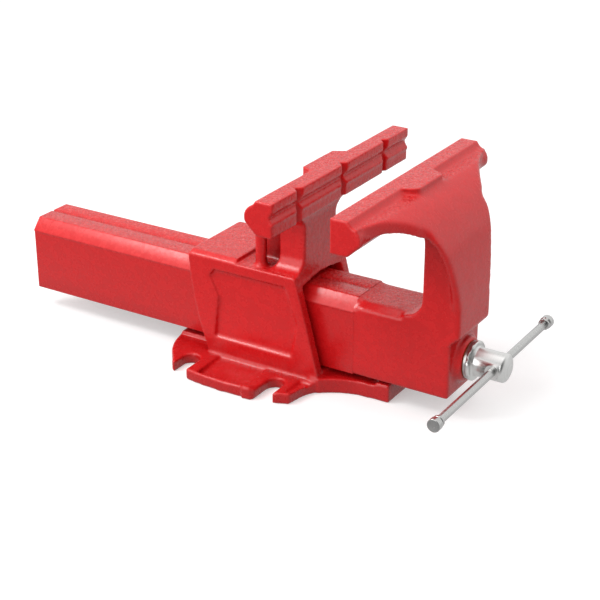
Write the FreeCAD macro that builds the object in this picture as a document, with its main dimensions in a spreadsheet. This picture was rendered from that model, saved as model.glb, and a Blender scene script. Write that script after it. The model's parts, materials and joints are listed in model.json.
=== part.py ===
import FreeCAD, Part
import os
import re
import Sketcher

# Engineer's bench vise with a prismatic beam. Millimetres.
# +X runs along the beam towards the hub, +Y along the jaws, +Z up; z = 0 is the underside of the base
# and the origin lies midway between the four bolt slots.

doc = FreeCAD.newDocument("BenchVise")
params = doc.addObject("Spreadsheet::Sheet", "params")

SIZES = {
    # jaws
    "jaw_length": 200,
    "jaw_top_z": 174.5,
    "jaw_height": 26.5,
    "jaw_top_width": 14,
    "jaw_shoulder": 2.6,
    "jaw_waist": 9,
    "jaw_lobe_r": 10,
    "jaw_foot_width": 13.5,
    "fixed_face_x": 67.5,
    "opening": 46,
    "groove_drop": 11.2,
    "groove_depth": 3,
    "small_groove_drop": 18.6,
    "small_groove_depth": 1.3,
    "face_relief": 0.7,
    "notch_pitch": 63,
    "notch_width": 7.6,
    "notch_depth": 4.4,
    "pad_half_back": 21.5,
    "pad_half_root": 27,
    "pad_reach": 9.5,
    # base
    "slot_x": 39.5,
    "slot_y": 54,
    "slot_r": 7.25,
    "base_t": 9.2,
    "base_half_y": 73,
    "base_rear_x": -72,
    "tongue_x": 121.7,
    "tongue_half": 24,
    "tongue_z": 12.2,
    "lip_h": 2.4,
    "lip_len": 12,
    "tray_floor_z": 5.2,
    "tray_half": 22,
    # fixed body
    "wall_half": 37.5,
    "top_z": 90.5,
    "top_rear_x": -51.5,
    "top_front_x": 46.5,
    "foot_rear_x": -32,
    "foot_front_x": 69.6,
    "plateau_h": 3,
    "plateau_front_x": -7,
    "plateau_half": 33,
    "panel_depth": 2.4,
    "panel_x": 9,
    "neck_front_x": 47.5,
    "neck_half": 23.5,
    "plate_back_x": 25,
    "web_half": 12,
    "web_back_x": -2,
    "shoulder_half": 34,
    "post_x": 11,
    "post_y": 27.5,
    "post_r": 4.6,
    "post_flare": 2.4,
    "neck_cove_r": 8,
    "foot_cove_r": 1.8,
    "lug_h": 1.3,
    "ear_recess": 2,
    # beam
    "beam_rear_x": -220.5,
    "beam_half": 25,
    "beam_lip": 1,
    "beam_flat_half": 17.5,
    "beam_bottom_z": 17,
    "beam_lip_z": 69.3,
    "beam_top_z": 79.2,
    "guide_front_x": 91,
    "guide_ramp": 4,
    "cast_drop": 1.8,
    "beam_wall": 7,
    "front_wall": 21,
    "guide_gap": 0.12,
    "mouth_gap": 2.5,
    "guide_start_x": -38,
    "guide_end_x": 33,
    # column and arm
    "column_front_x": 171,
    "column_t": 24,
    "cape_proud": 7.5,
    "cape_t": 6.3,
    "cape_foot_z": 68,
    "wing_sweep_r": 120,
    "root_r": 15,
    # screw
    "axis_z": 42,
    "journal_r": 10,
    "thread_r": 9.9,
    "running_gap": 0.04,
    "seat_gap": 0.1,
    "bush_wall": 2.5,
    "bush_flange_r": 13.6,
    "bush_flange_t": 1.5,
    "boss_r": 18,
    "boss_h": 6,
    "boss_round": 3.4,
    "washer_t": 1.8,
    "flange_r": 15.3,
    "flange_t": 3,
    "hub_r": 11,
    "hub_len": 27.5,
    "screw_rear_x": -196,
    "bar_offset": 16.9,
    "bar_r": 3.15,
    "bar_gap": 0.08,
    "bar_near_y": -104,
    "bar_far_y": 92,
    "knob_r": 5,
    "knob_len": 9,
    "spigot_r": 2.2,
    "collar_r": 15.5,
    "collar_len": 14,
    "spring_len": 16,
    "spring_wire_r": 1.3,
    "spring_r": 12.6,
    "pin_r": 2.5,
    # nut
    "nut_mid_x": -14,
    "nut_len": 40,
    "nut_half": 15.5,
    "nut_screw_pitch": 24,
    "nut_screw_r": 5,
    "nut_head_r": 8,
    "nut_head_h": 8,
    "nut_sink": 10.6,
    "nut_thread_len": 11,
    "dowel_r": 3,
    "dowel_gap": 0.02,
    "dowel_y": 10,
    "dowel_len": 12,
}

for row, (alias, number) in enumerate(SIZES.items(), start=1):
    params.set(f"A{row}", alias)
    params.set(f"B{row}", str(number))
    params.setAlias(f"B{row}", alias)
DERIVED = {
    "jaw_bottom_z": "jaw_top_z - jaw_height",
    "groove_z": "jaw_top_z - groove_drop",
    "shoulder_z": "jaw_bottom_z - 14",
    "throat_top_z": "jaw_bottom_z - 10",
    "moving_face_x": "fixed_face_x + opening",
    "column_in_x": "column_front_x - column_t",
    "throat_corner_r": "(column_in_x - moving_face_x + 8.5) / 3",
    "cape_x": "column_front_x + cape_proud",
    "boss_face_x": "column_front_x + boss_h",
    "washer_x": "boss_face_x + 2 * seat_gap",
    "flange_x": "washer_x + washer_t + seat_gap",
    "hub_end_x": "flange_x + flange_t + hub_len",
    "bar_x": "flange_x + flange_t + bar_offset",
    "spring_x": "column_front_x - front_wall - spring_len + spring_wire_r - seat_gap",
    "collar_x": "column_front_x - front_wall - spring_len - washer_t - collar_len - 3 * seat_gap",
    "nut_floor_z": "beam_bottom_z - guide_gap + seat_gap / 2",
    "head_z": "nut_sink - 2",
}
for row, (alias, formula) in enumerate(DERIVED.items(), start=1):
    params.set(f"D{row}", alias)
    params.set(f"E{row}", "=" + formula)
    params.setAlias(f"E{row}", alias)
doc.recompute()

KNOWN = set(SIZES) | set(DERIVED)
NAME = re.compile(r"\b[a-z][a-z0-9_]*\b")


def bound(text):
    return NAME.sub(lambda m: "params." + m.group() if m.group() in KNOWN else m.group(), text)


def number(text):
    return float(params.evalExpression(text))


def drive(obj, prop, text):
    obj.setExpression(prop, bound(text))


def new_body(label):
    body = doc.addObject("PartDesign::Body", label)
    body.Label = label
    return body


def sketch_on(body, plane, height=None):
    sketch = body.newObject("Sketcher::SketchObject", "Sketch")
    support = [f for f in body.Origin.OriginFeatures if f.Role == plane + "_Plane"]
    sketch.AttachmentSupport = [(support[0], "")]
    sketch.MapMode = "FlatFace"
    if height is not None:
        drive(sketch, "AttachmentOffset.Base.z", height)
    return sketch


def pin_point(sketch, geo, end, x, y):
    for kind, text in (("DistanceX", x), ("DistanceY", y)):
        index = sketch.addConstraint(Sketcher.Constraint(kind, -1, 1, geo, end, number(text)))
        sketch.setExpression(f"Constraints[{index}]", bound(text))


def outline(sketch, corners):
    """Closed chain of (x, y) or (x, y, radius): an arc onwards, bulging to the right where radius > 0."""
    at = [(number(c[0]), number(c[1])) for c in corners]
    first = sketch.GeometryCount
    count = len(corners)
    for i, corner in enumerate(corners):
        ax, ay = at[i]
        bx, by = at[(i + 1) % count]
        if len(corner) == 2:
            line = Part.LineSegment(FreeCAD.Vector(ax, ay, 0), FreeCAD.Vector(bx, by, 0))
            sketch.addGeometry(line, False)
            continue
        r = number(corner[2])
        dx, dy = bx - ax, by - ay
        chord = (dx * dx + dy * dy) ** 0.5
        rise = abs(r) - (r * r - chord * chord / 4) ** 0.5
        side = rise / chord if r > 0 else -rise / chord
        middle = FreeCAD.Vector((ax + bx) / 2 + side * dy, (ay + by) / 2 - side * dx, 0)
        arc = Part.Arc(FreeCAD.Vector(ax, ay, 0), middle, FreeCAD.Vector(bx, by, 0))
        sketch.addGeometry(arc, False)
    for i, corner in enumerate(corners):
        geo = first + i
        after = first + (i + 1) % count
        swept = len(corner) == 3 and number(corner[2]) < 0
        following = corners[(i + 1) % count]
        swept_next = len(following) == 3 and number(following[2]) < 0
        end = 1 if swept else 2
        start_next = 2 if swept_next else 1
        sketch.addConstraint(Sketcher.Constraint("Coincident", geo, end, after, start_next))
    for i, corner in enumerate(corners):
        geo = first + i
        swept = len(corner) == 3 and number(corner[2]) < 0
        pin_point(sketch, geo, 2 if swept else 1, corner[0], corner[1])
        if len(corner) == 3:
            radius = abs(number(corner[2]))
            index = sketch.addConstraint(Sketcher.Constraint("Radius", geo, radius))
            sketch.setExpression(f"Constraints[{index}]", bound(f"abs({corner[2]})"))
    return sketch


def ring(sketch, x, y, r):
    centre = FreeCAD.Vector(number(x), number(y), 0)
    geo = sketch.addGeometry(Part.Circle(centre, FreeCAD.Vector(0, 0, 1), number(r)), False)
    pin_point(sketch, geo, 3, x, y)
    index = sketch.addConstraint(Sketcher.Constraint("Radius", geo, number(r)))
    sketch.setExpression(f"Constraints[{index}]", bound(r))
    return sketch


def feature(body, kind, sketch, length, side="One side", back=False):
    made = body.newObject("PartDesign::" + kind, kind)
    made.Profile = sketch
    made.SideType = side
    made.Reversed = back
    if length is None:
        made.Type = "ThroughAll"
    else:
        drive(made, "Length", length)
    return made


def pad(body, sketch, length, side="Symmetric", back=False):
    return feature(body, "Pad", sketch, length, side, back)


def pocket(body, sketch, length=None, side="Symmetric", back=False):
    return feature(body, "Pocket", sketch, length, side, back)


def revolve(body, sketch, axis_role):
    made = body.newObject("PartDesign::Revolution", "Revolution")
    made.Profile = sketch
    made.ReferenceAxis = ([f for f in body.Origin.OriginFeatures if f.Role == axis_role][0], [""])
    made.Angle = 360
    return made


def revolve_own(body, sketch, axis):
    made = body.newObject("PartDesign::Revolution", "Revolution")
    made.Profile = sketch
    made.ReferenceAxis = (sketch, [axis])
    made.Angle = 360
    return made


def mirrored(corners, flip):
    """The chain and its mirror image across the other sketch axis, as one closed chain."""
    back = []
    for i in range(len(corners) - 1, -1, -1):
        at = list(corners[i][:2])
        at[flip] = f"-({at[flip]})"
        if i > 0 and len(corners[i - 1]) == 3:
            at.append(corners[i - 1][2])
        back.append(tuple(at))
    return corners + back


def around(sketch, x, y, reach_x, reach_y):
    """A frame outside everything, so that a pocket keeps only what lies inside the next outline."""
    outline(sketch, [
        (f"{x} - {reach_x}", f"{y} - {reach_y}"),
        (f"{x} + {reach_x}", f"{y} - {reach_y}"),
        (f"{x} + {reach_x}", f"{y} + {reach_y}"),
        (f"{x} - {reach_x}", f"{y} + {reach_y}"),
    ])


# ---------------------------------------------------------------- fixed body casting

body = new_body("body")

# neck: side profile, then its front profile and the pockets beside the web
side = sketch_on(body, "XZ")
outline(side, [
    ("web_back_x", "top_z - 4"),
    ("neck_front_x", "top_z - 4"),
    ("neck_front_x", "shoulder_z - 4", "-22"),
    ("fixed_face_x - 4", "jaw_bottom_z + 2"),
    ("fixed_face_x - 4", "jaw_top_z"),
    ("fixed_face_x - jaw_top_width - pad_reach", "jaw_top_z"),
    ("fixed_face_x - jaw_top_width - pad_reach", "jaw_top_z - 7", "-90"),
    ("web_back_x + 6", "shoulder_z"),
    ("web_back_x", "shoulder_z - 8"),
])
pad(body, side, "2 * shoulder_half")

front = sketch_on(body, "YZ")
around(front, "0", "jaw_bottom_z", "jaw_length", "jaw_length")
outline(front, mirrored([
    ("wall_half", "top_z - 5"),
    ("wall_half", "top_z", "-13"),
    ("neck_half + 1", "top_z + 13"),
    ("neck_half", "shoulder_z - 8", "-14"),
    ("shoulder_half", "shoulder_z + 2"),
    ("shoulder_half", "jaw_bottom_z - 2"),
    ("pad_half_back", "jaw_top_z - 6"),
    ("pad_half_back", "jaw_top_z + 1"),
], 0))
pocket(body, front)

for back in (False, True):
    hollow = sketch_on(body, "XZ", "-web_half" if back else "web_half")
    outline(hollow, [
        ("web_back_x - 12", "top_z"),
        ("plate_back_x - neck_cove_r", "top_z", "neck_cove_r + 0.01"),
        ("plate_back_x", "top_z + neck_cove_r"),
        ("plate_back_x", "shoulder_z - 8", "8"),
        ("plate_back_x - 8", "shoulder_z"),
        ("web_back_x - 12", "shoulder_z"),
    ])
    pocket(body, hollow, "shoulder_half", "One side", not back)

for hand in ("", "-"):
    post = sketch_on(body, "XZ", f"{hand}post_y")
    drive(post, "AttachmentOffset.Base.x", "post_x")
    outline(post, [
        ("0", "top_z - 3"),
        ("post_r + post_flare", "top_z - 3"),
        ("post_r + post_flare", "top_z", "-2 * post_flare"),
        ("post_r", "top_z + 2 * post_flare"),
        ("post_r", "shoulder_z + 3"),
        ("0", "shoulder_z + 3"),
    ])
    revolve_own(body, post, "V_Axis")

# fixed jaw bar with its pad, grooves and notches
bar = sketch_on(body, "XZ")
outline(bar, [
    ("fixed_face_x - jaw_foot_width", "jaw_bottom_z"),
    ("fixed_face_x - face_relief", "jaw_bottom_z"),
    ("fixed_face_x - face_relief", "jaw_top_z - small_groove_drop"),
    ("fixed_face_x", "jaw_top_z - small_groove_drop"),
    ("fixed_face_x", "jaw_top_z"),
    ("fixed_face_x - jaw_top_width", "jaw_top_z"),
    ("fixed_face_x - jaw_top_width - jaw_shoulder", "jaw_top_z - 3.9", "jaw_lobe_r"),
    ("fixed_face_x - jaw_top_width - jaw_waist", "jaw_bottom_z + jaw_waist"),
])
pad(body, bar, "jaw_length")

back_pad = sketch_on(body, "XY", "jaw_top_z")
outline(back_pad, mirrored([
    ("fixed_face_x - jaw_top_width - pad_reach", "-pad_half_back"),
    ("fixed_face_x - jaw_top_width + 1", "-pad_half_root"),
], 1))
pad(body, back_pad, "jaw_top_width", "One side", True)

grooves = sketch_on(body, "XZ")
outline(grooves, [
    ("fixed_face_x + 1", "groove_z - 1.5 * (groove_depth + 1)"),
    ("fixed_face_x + 1", "groove_z + 1.5 * (groove_depth + 1)"),
    ("fixed_face_x - groove_depth", "groove_z"),
])
outline(grooves, [
    ("fixed_face_x + 1", "jaw_top_z - small_groove_drop - small_groove_depth - 1"),
    ("fixed_face_x + 1", "jaw_top_z - small_groove_drop + small_groove_depth + 1"),
    ("fixed_face_x - small_groove_depth", "jaw_top_z - small_groove_drop"),
])
pocket(body, grooves, "jaw_length + 2")

notches = sketch_on(body, "XY", "jaw_top_z + 1")
for place in ("-notch_pitch", "0", "notch_pitch"):
    outline(notches, [
        ("fixed_face_x + 1", f"{place} - notch_width / 2 - 0.9"),
        ("fixed_face_x + 1", f"{place} + notch_width / 2 + 0.9"),
        ("fixed_face_x - notch_depth", f"{place}"),
    ])
pocket(body, notches, "jaw_top_z - jaw_bottom_z + 2", "One side")

# pedestal with the raised plateau behind the neck
pedestal = sketch_on(body, "XZ")
outline(pedestal, [
    ("foot_rear_x", "base_t - 5"),
    ("foot_front_x", "base_t - 5"),
    ("top_front_x", "top_z"),
    ("top_rear_x", "top_z", "260"),
])
pad(body, pedestal, "2 * wall_half")

plateau = sketch_on(body, "YZ", "plateau_front_x")
outline(plateau, mirrored([
    ("wall_half", "top_z - 1"),
    ("wall_half", "top_z"),
    ("plateau_half", "top_z + plateau_h"),
], 0))
pad(body, plateau, "plateau_front_x - top_rear_x - 1.2", "One side", True)

# base plate, spine and tongue
plate = sketch_on(body, "XY")
outline(plate, mirrored([
    ("base_rear_x", "-tongue_half", "60"),
    ("-slot_x - 16.5", "-slot_y - 2"),
    ("-slot_x - 9.8", "-slot_y - 12"),
    ("-slot_x + slot_r + 1", "-base_half_y + 1", "190"),
    ("slot_x - 18", "-base_half_y - 0.8"),
    ("slot_x - 17", "-base_half_y - 2.8"),
    ("slot_x - 10", "-base_half_y - 2.2"),
    ("slot_x - 8", "-base_half_y"),
    ("slot_x + 10", "-base_half_y + 3.8"),
    ("slot_x + 19.5", "-base_half_y + 8"),
    ("slot_x + 21.5", "-slot_y + 2", "-30"),
    ("slot_x + 40", "-tongue_half - 5"),
], 1))
pad(body, plate, "base_t", "One side")

spine = sketch_on(body, "XY", "base_t - 5")
outline(spine, mirrored([
    ("base_rear_x + 1", "-tongue_half + 1"),
    ("foot_rear_x + 4", "-tongue_half + 1"),
], 1))
pad(body, spine, "tongue_z - base_t + 5", "One side")

foot = sketch_on(body, "YZ", "foot_rear_x - 0.5")
outline(foot, mirrored([
    ("wall_half + foot_cove_r", "base_t - 5"),
    ("wall_half + foot_cove_r", "base_t", "-foot_cove_r - 0.01"),
    ("wall_half", "base_t + foot_cove_r"),
], 0))
pad(body, foot, "foot_front_x - foot_rear_x - 3", "One side")

tongue = sketch_on(body, "XY")
outline(tongue, mirrored([
    ("foot_front_x - 10", "-wall_half - 1"),
    ("foot_front_x - 1", "-wall_half - 1", "-60"),
    ("slot_x + 57", "-tongue_half - 1"),
    ("tongue_x", "-tongue_half"),
], 1))
pad(body, tongue, "tongue_z", "One side")

lugs = sketch_on(body, "XY", "base_t - 1")
for hand in ("", "-"):
    outline(lugs, [
        ("slot_x - 19", f"{hand}(base_half_y - 2.5)"),
        ("slot_x - 10.5", f"{hand}(base_half_y - 3.5)"),
        ("slot_x - 10.5", f"{hand}(base_half_y + 1.4)"),
        ("slot_x - 16.5", f"{hand}(base_half_y + 2)"),
    ])
pad(body, lugs, "lug_h + 1", "One side")

lip = sketch_on(body, "XY", "tongue_z - 2")
outline(lip, mirrored([
    ("tongue_x - lip_len", "-tongue_half + 0.4"),
    ("tongue_x - 0.4", "-tongue_half + 0.4"),
], 1))
pad(body, lip, "lip_h + 2", "One side")

slot_ends = sketch_on(body, "XY", "base_t + 1")
slot_mouths = sketch_on(body, "XY", "base_t + 1")
for sx in ("", "-"):
    for sy in ("", "-"):
        ring(slot_ends, f"{sx}slot_x", f"{sy}slot_y", "slot_r")
        outline(slot_mouths, [
            (f"{sx}slot_x - slot_r", f"{sy}slot_y"),
            (f"{sx}slot_x + slot_r", f"{sy}slot_y"),
            (f"{sx}slot_x + slot_r", f"{sy}(slot_y + 30)"),
            (f"{sx}slot_x - slot_r", f"{sy}(slot_y + 30)"),
        ])
pocket(body, slot_ends, "base_t + 2", "One side")
pocket(body, slot_mouths, "base_t + 2", "One side")

for back in (False, True):
    tray = sketch_on(body, "YZ", "-tray_half")
    hand = "-" if back else ""
    outline(tray, [
        (f"{hand}(base_half_y - 3)", "tray_floor_z - 1"),
        (f"{hand}(wall_half + 1.4)", "tray_floor_z + 2.6"),
        (f"{hand}(wall_half + 1.4)", "tray_floor_z + 9"),
        (f"{hand}(base_half_y - 3)", "tray_floor_z + 9"),
    ])
    pocket(body, tray, "2 * tray_half", "One side", True)

ears = sketch_on(body, "XY", "base_t + 4")
for hand in ("", "-"):
    outline(ears, [
        ("slot_x + 14.5", f"{hand}(wall_half + 4)"),
        ("slot_x + 25.5", f"{hand}(wall_half + 4)"),
        ("slot_x + 20.2", f"{hand}(slot_y - 2)"),
        ("slot_x + 18", f"{hand}(slot_y + 8.5)"),
        ("slot_x + 14.5", f"{hand}(slot_y + 8.5)"),
    ])
pocket(body, ears, "ear_recess + 4", "One side")

# hourglass panels of the side walls
for back in (False, True):
    panel = sketch_on(body, "XZ", "panel_depth - wall_half" if back else "wall_half - panel_depth")
    outline(panel, [
        ("panel_x - 36.5", "24"),
        ("panel_x + 34.5", "24"),
        ("panel_x + 39.5", "53"),
        ("panel_x + 28.5", "top_z - 9"),
        ("panel_x - 36", "top_z - 9"),
        ("panel_x - 40.5", "top_z - 15"),
        ("panel_x - 32.5", "59"),
    ])
    pocket(body, panel, "wall_half", "One side", not back)

# tunnel for the beam: the guides, then the wider rough mouths at both ends
guides = sketch_on(body, "YZ")
outline(guides, mirrored([
    ("beam_half + beam_lip + guide_gap", "beam_bottom_z - guide_gap"),
    ("beam_half + beam_lip + guide_gap", "beam_lip_z + 0.1"),
    ("beam_flat_half + guide_gap", "beam_top_z + guide_gap"),
], 0))
pocket(body, guides)

for back in (False, True):
    mouth = sketch_on(body, "YZ", "foot_front_x + 6" if back else "base_rear_x - 1")
    outline(mouth, mirrored([
        ("beam_half + beam_lip + mouth_gap", "beam_bottom_z - mouth_gap"),
        ("beam_half + beam_lip + mouth_gap", "beam_top_z + 1.4", "150"),
    ], 0))
    depth = "foot_front_x + 6 - guide_end_x" if back else "guide_start_x - base_rear_x + 1"
    pocket(body, mouth, depth, "One side", not back)

# screw and dowel holes of the nut, from below
sinks = sketch_on(body, "XY")
clear = sketch_on(body, "XY")
for hand in ("-", "+"):
    ring(sinks, f"nut_mid_x {hand} nut_screw_pitch / 2", "0", "nut_head_r + 1")
    ring(clear, f"nut_mid_x {hand} nut_screw_pitch / 2", "0", "nut_screw_r + 0.4")
    ring(clear, "nut_mid_x", f"{hand}dowel_y", "dowel_r + dowel_gap")
pocket(body, sinks, "nut_sink", "One side", True)
pocket(body, clear, "beam_bottom_z + 1", "One side", True)

# ---------------------------------------------------------------- sliding jaw casting

slider = new_body("sliding_jaw")
cape = sketch_on(slider, "XZ")
outline(cape, [
    ("column_front_x - 3", "cape_foot_z - 8.4"),
    ("cape_x", "cape_foot_z", "230"),
    ("cape_x - 6.1", "jaw_bottom_z - 15.2", "55"),
    ("moving_face_x + 26", "jaw_top_z - 5"),
    ("moving_face_x + 19.5", "jaw_top_z - 5"),
    ("moving_face_x + 19.5", "jaw_bottom_z + 11"),
    ("moving_face_x + 27.5", "jaw_bottom_z + 10.9", "-36"),
    ("cape_x - 11.9", "jaw_bottom_z - 16.8", "-224"),
    ("cape_x - cape_t", "cape_foot_z"),
])
pad(slider, cape, "jaw_length")

spread = sketch_on(slider, "YZ")
around(spread, "0", "jaw_bottom_z", "jaw_length", "jaw_length")
outline(spread, mirrored([
    ("beam_half + 0.5", "0"),
    ("beam_half + 0.5", "cape_foot_z + 20", "-200"),
    ("beam_half + 18.2", "jaw_bottom_z + 1"),
    ("jaw_length / 2 + 1", "jaw_bottom_z + 1"),
    ("jaw_length / 2 + 1", "jaw_top_z + 1"),
], 0))
pocket(slider, spread)

wings = sketch_on(slider, "XY", "jaw_bottom_z + 1")
outline(wings, [
    ("moving_face_x + 20.3", "-jaw_length / 2 - 1"),
    ("cape_x + 20", "-jaw_length / 2 - 1"),
    ("cape_x + 20", "-beam_half - 18.2"),
    ("moving_face_x + 47.2", "-beam_half - 18.2", "16"),
    ("moving_face_x + 42.5", "-beam_half - 25.5", "wing_sweep_r"),
])
outline(wings, [
    ("moving_face_x + 20.3", "jaw_length / 2 + 1", "wing_sweep_r"),
    ("moving_face_x + 42.5", "beam_half + 25.5", "16"),
    ("moving_face_x + 47.2", "beam_half + 18.2"),
    ("cape_x + 20", "beam_half + 18.2"),
    ("cape_x + 20", "jaw_length / 2 + 1"),
])
pocket(slider, wings, None, "One side", True)

web = sketch_on(slider, "XZ")
outline(web, [
    ("moving_face_x + 6", "jaw_bottom_z + 1"),
    ("moving_face_x + 17.5", "jaw_bottom_z", "-throat_corner_r"),
    ("column_in_x", "throat_top_z"),
    ("column_in_x", "beam_top_z + root_r - cast_drop", "-root_r - 0.01"),
    ("column_in_x - root_r", "beam_top_z - cast_drop"),
    ("column_in_x - root_r", "beam_bottom_z"),
    ("column_front_x", "beam_bottom_z"),
    ("column_front_x", "cape_foot_z - 4"),
    ("column_front_x + 4", "cape_foot_z + 4", "227"),
    ("cape_x - 9", "jaw_bottom_z - 16", "46"),
    ("moving_face_x + 26.5", "jaw_top_z - 9"),
    ("moving_face_x + 6", "jaw_top_z - 9"),
])
pad(slider, web, "2 * beam_half")

cast_beam = sketch_on(slider, "YZ", "guide_front_x")
outline(cast_beam, mirrored([
    ("beam_half", "beam_bottom_z"),
    ("beam_half", "beam_lip_z + 3.7"),
    ("beam_flat_half", "beam_top_z - cast_drop"),
], 0))
pad(slider, cast_beam, "column_front_x - guide_front_x", "One side")

guide_beam = sketch_on(slider, "YZ", "guide_front_x")
outline(guide_beam, mirrored([
    ("beam_half", "beam_bottom_z"),
    ("beam_half", "beam_lip_z - beam_lip"),
    ("beam_half + beam_lip", "beam_lip_z"),
    ("beam_flat_half", "beam_top_z"),
], 0))
pad(slider, guide_beam, "guide_front_x - beam_rear_x", "One side", True)

ramp_start = sketch_on(slider, "YZ", "guide_front_x")
outline(ramp_start, mirrored([
    ("beam_half", "beam_bottom_z + 1"),
    ("beam_half", "beam_lip_z - beam_lip"),
    ("beam_half + beam_lip", "beam_lip_z"),
    ("beam_flat_half", "beam_top_z"),
], 0))
ramp_end = sketch_on(slider, "YZ", "guide_front_x + guide_ramp")
outline(ramp_end, mirrored([
    ("beam_half", "beam_bottom_z + 1"),
    ("beam_half", "beam_lip_z + 2.4"),
    ("beam_half", "beam_lip_z + 3.7"),
    ("beam_flat_half", "beam_top_z - cast_drop"),
], 0))
ramp = slider.newObject("PartDesign::AdditiveLoft", "Ramp")
ramp.Profile = ramp_start
ramp.Sections = [ramp_end]
ramp.Ruled = True

jaw = sketch_on(slider, "XZ")
outline(jaw, [
    ("moving_face_x", "jaw_bottom_z"),
    ("moving_face_x + jaw_foot_width", "jaw_bottom_z"),
    ("moving_face_x + jaw_top_width + jaw_waist", "jaw_bottom_z + jaw_waist", "jaw_lobe_r"),
    ("moving_face_x + jaw_top_width + jaw_shoulder", "jaw_top_z - 3.9"),
    ("moving_face_x + jaw_top_width", "jaw_top_z"),
    ("moving_face_x", "jaw_top_z"),
])
pad(slider, jaw, "jaw_length")

front_pad = sketch_on(slider, "XY", "jaw_top_z")
outline(front_pad, mirrored([
    ("moving_face_x + jaw_top_width - 1", "-pad_half_root", "-12"),
    ("moving_face_x + jaw_top_width + 5", "-pad_half_back - 1", "12"),
    ("moving_face_x + jaw_top_width + pad_reach + 2.2", "-pad_half_back + 5"),
], 1))
pad(slider, front_pad, "6", "One side", True)

channel = sketch_on(slider, "YZ", "column_front_x - front_wall")
outline(channel, mirrored([
    ("beam_half - beam_wall", "beam_bottom_z - 2"),
    ("beam_half - beam_wall", "beam_top_z - 16", "5.01"),
    ("beam_half - beam_wall - 5", "beam_top_z - 11"),
], 0))
pocket(slider, channel, None, "One side")

boss = sketch_on(slider, "XZ")
drive(boss, "AttachmentOffset.Base.y", "axis_z")
outline(boss, [
    ("column_front_x - 2", "0"),
    ("boss_face_x", "0"),
    ("boss_face_x", "boss_r - boss_round", "boss_round + 0.01"),
    ("boss_face_x - boss_round", "boss_r"),
    ("column_front_x - 2", "boss_r"),
])
revolve_own(slider, boss, "H_Axis")

bore = sketch_on(slider, "YZ")
ring(bore, "0", "axis_z", "journal_r + running_gap + bush_wall + 0.02")
pocket(slider, bore, None, "One side", True)
counterbore = sketch_on(slider, "YZ", "boss_face_x - bush_flange_t")
ring(counterbore, "0", "axis_z", "bush_flange_r + seat_gap")
pocket(slider, counterbore, None, "One side", True)

# ---------------------------------------------------------------- screw line, each piece about its own axis


def on_axis(body, x="0"):
    drive(body, "Placement.Base.x", x)
    drive(body, "Placement.Base.z", "axis_z")


def turned(label, corners, axis_role, x="0"):
    body = new_body(label)
    on_axis(body, x)
    plane = "XY" if axis_role == "Y_Axis" else "XZ"
    outline(sketch_on(body, plane), corners)
    revolve(body, body.Group[-1], axis_role)
    return body


bush = turned("front_bush", [
    ("column_front_x - front_wall", "journal_r + running_gap"),
    ("boss_face_x + seat_gap", "journal_r + running_gap"),
    ("boss_face_x + seat_gap", "bush_flange_r"),
    ("boss_face_x + seat_gap - bush_flange_t", "bush_flange_r"),
    ("boss_face_x + seat_gap - bush_flange_t", "journal_r + running_gap + bush_wall"),
    ("column_front_x - front_wall", "journal_r + running_gap + bush_wall"),
], "X_Axis")

washer = turned("thrust_washer", [
    ("washer_x", "journal_r + seat_gap"),
    ("washer_x + washer_t", "journal_r + seat_gap"),
    ("washer_x + washer_t", "flange_r - 0.8"),
    ("washer_x", "flange_r - 0.8"),
], "X_Axis")

spindle = turned("spindle", [
    ("screw_rear_x", "0"),
    ("hub_end_x", "0", "26"),
    ("hub_end_x - 2.6", "hub_r - 2", "3"),
    ("hub_end_x - 4.8", "hub_r"),
    ("flange_x + flange_t + 1.5", "hub_r", "-1.6"),
    ("flange_x + flange_t", "hub_r + 1.5"),
    ("flange_x + flange_t", "flange_r - 0.8"),
    ("flange_x + flange_t - 0.8", "flange_r"),
    ("flange_x + 0.8", "flange_r"),
    ("flange_x", "flange_r - 0.8"),
    ("flange_x", "journal_r"),
    ("collar_x - 6", "journal_r"),
    ("collar_x - 6", "thread_r - 1.4"),
    ("collar_x - 11", "thread_r - 1.4"),
    ("collar_x - 12.5", "thread_r"),
    ("screw_rear_x + 2", "thread_r"),
    ("screw_rear_x", "thread_r - 2"),
], "X_Axis")
rim = sketch_on(spindle, "XZ")
ring(rim, "bar_x", "0", "bar_r + 2.4")
pad(spindle, rim, "2 * hub_r + 1")
eye = sketch_on(spindle, "XZ")
ring(eye, "bar_x", "0", "bar_r + bar_gap")
pocket(spindle, eye)
cross = sketch_on(spindle, "XZ")
ring(cross, "collar_x + collar_len / 2", "0", "pin_r + 0.01")
pocket(spindle, cross)

collar = turned("collar", [
    ("collar_x", "journal_r + running_gap"),
    ("collar_x + collar_len", "journal_r + running_gap"),
    ("collar_x + collar_len", "collar_r - 1"),
    ("collar_x + collar_len - 1", "collar_r"),
    ("collar_x + 1", "collar_r"),
    ("collar_x", "collar_r - 1"),
], "X_Axis")
cross = sketch_on(collar, "XZ")
ring(cross, "collar_x + collar_len / 2", "0", "pin_r + 0.01")
pocket(collar, cross)

pin = turned("collar_pin", [
    ("0", "-collar_r + 0.4"),
    ("pin_r - 0.5", "-collar_r + 0.4"),
    ("pin_r", "-collar_r + 1.2"),
    ("pin_r", "collar_r - 1.2"),
    ("pin_r - 0.5", "collar_r - 0.4"),
    ("0", "collar_r - 0.4"),
], "Y_Axis", "collar_x + collar_len / 2")

cup = turned("spring_washer", [
    ("collar_x + collar_len + seat_gap", "journal_r + seat_gap"),
    ("collar_x + collar_len + seat_gap + washer_t", "journal_r + seat_gap"),
    ("collar_x + collar_len + seat_gap + washer_t", "collar_r - 0.5"),
    ("collar_x + collar_len + seat_gap", "collar_r - 0.5"),
], "X_Axis")

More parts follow.
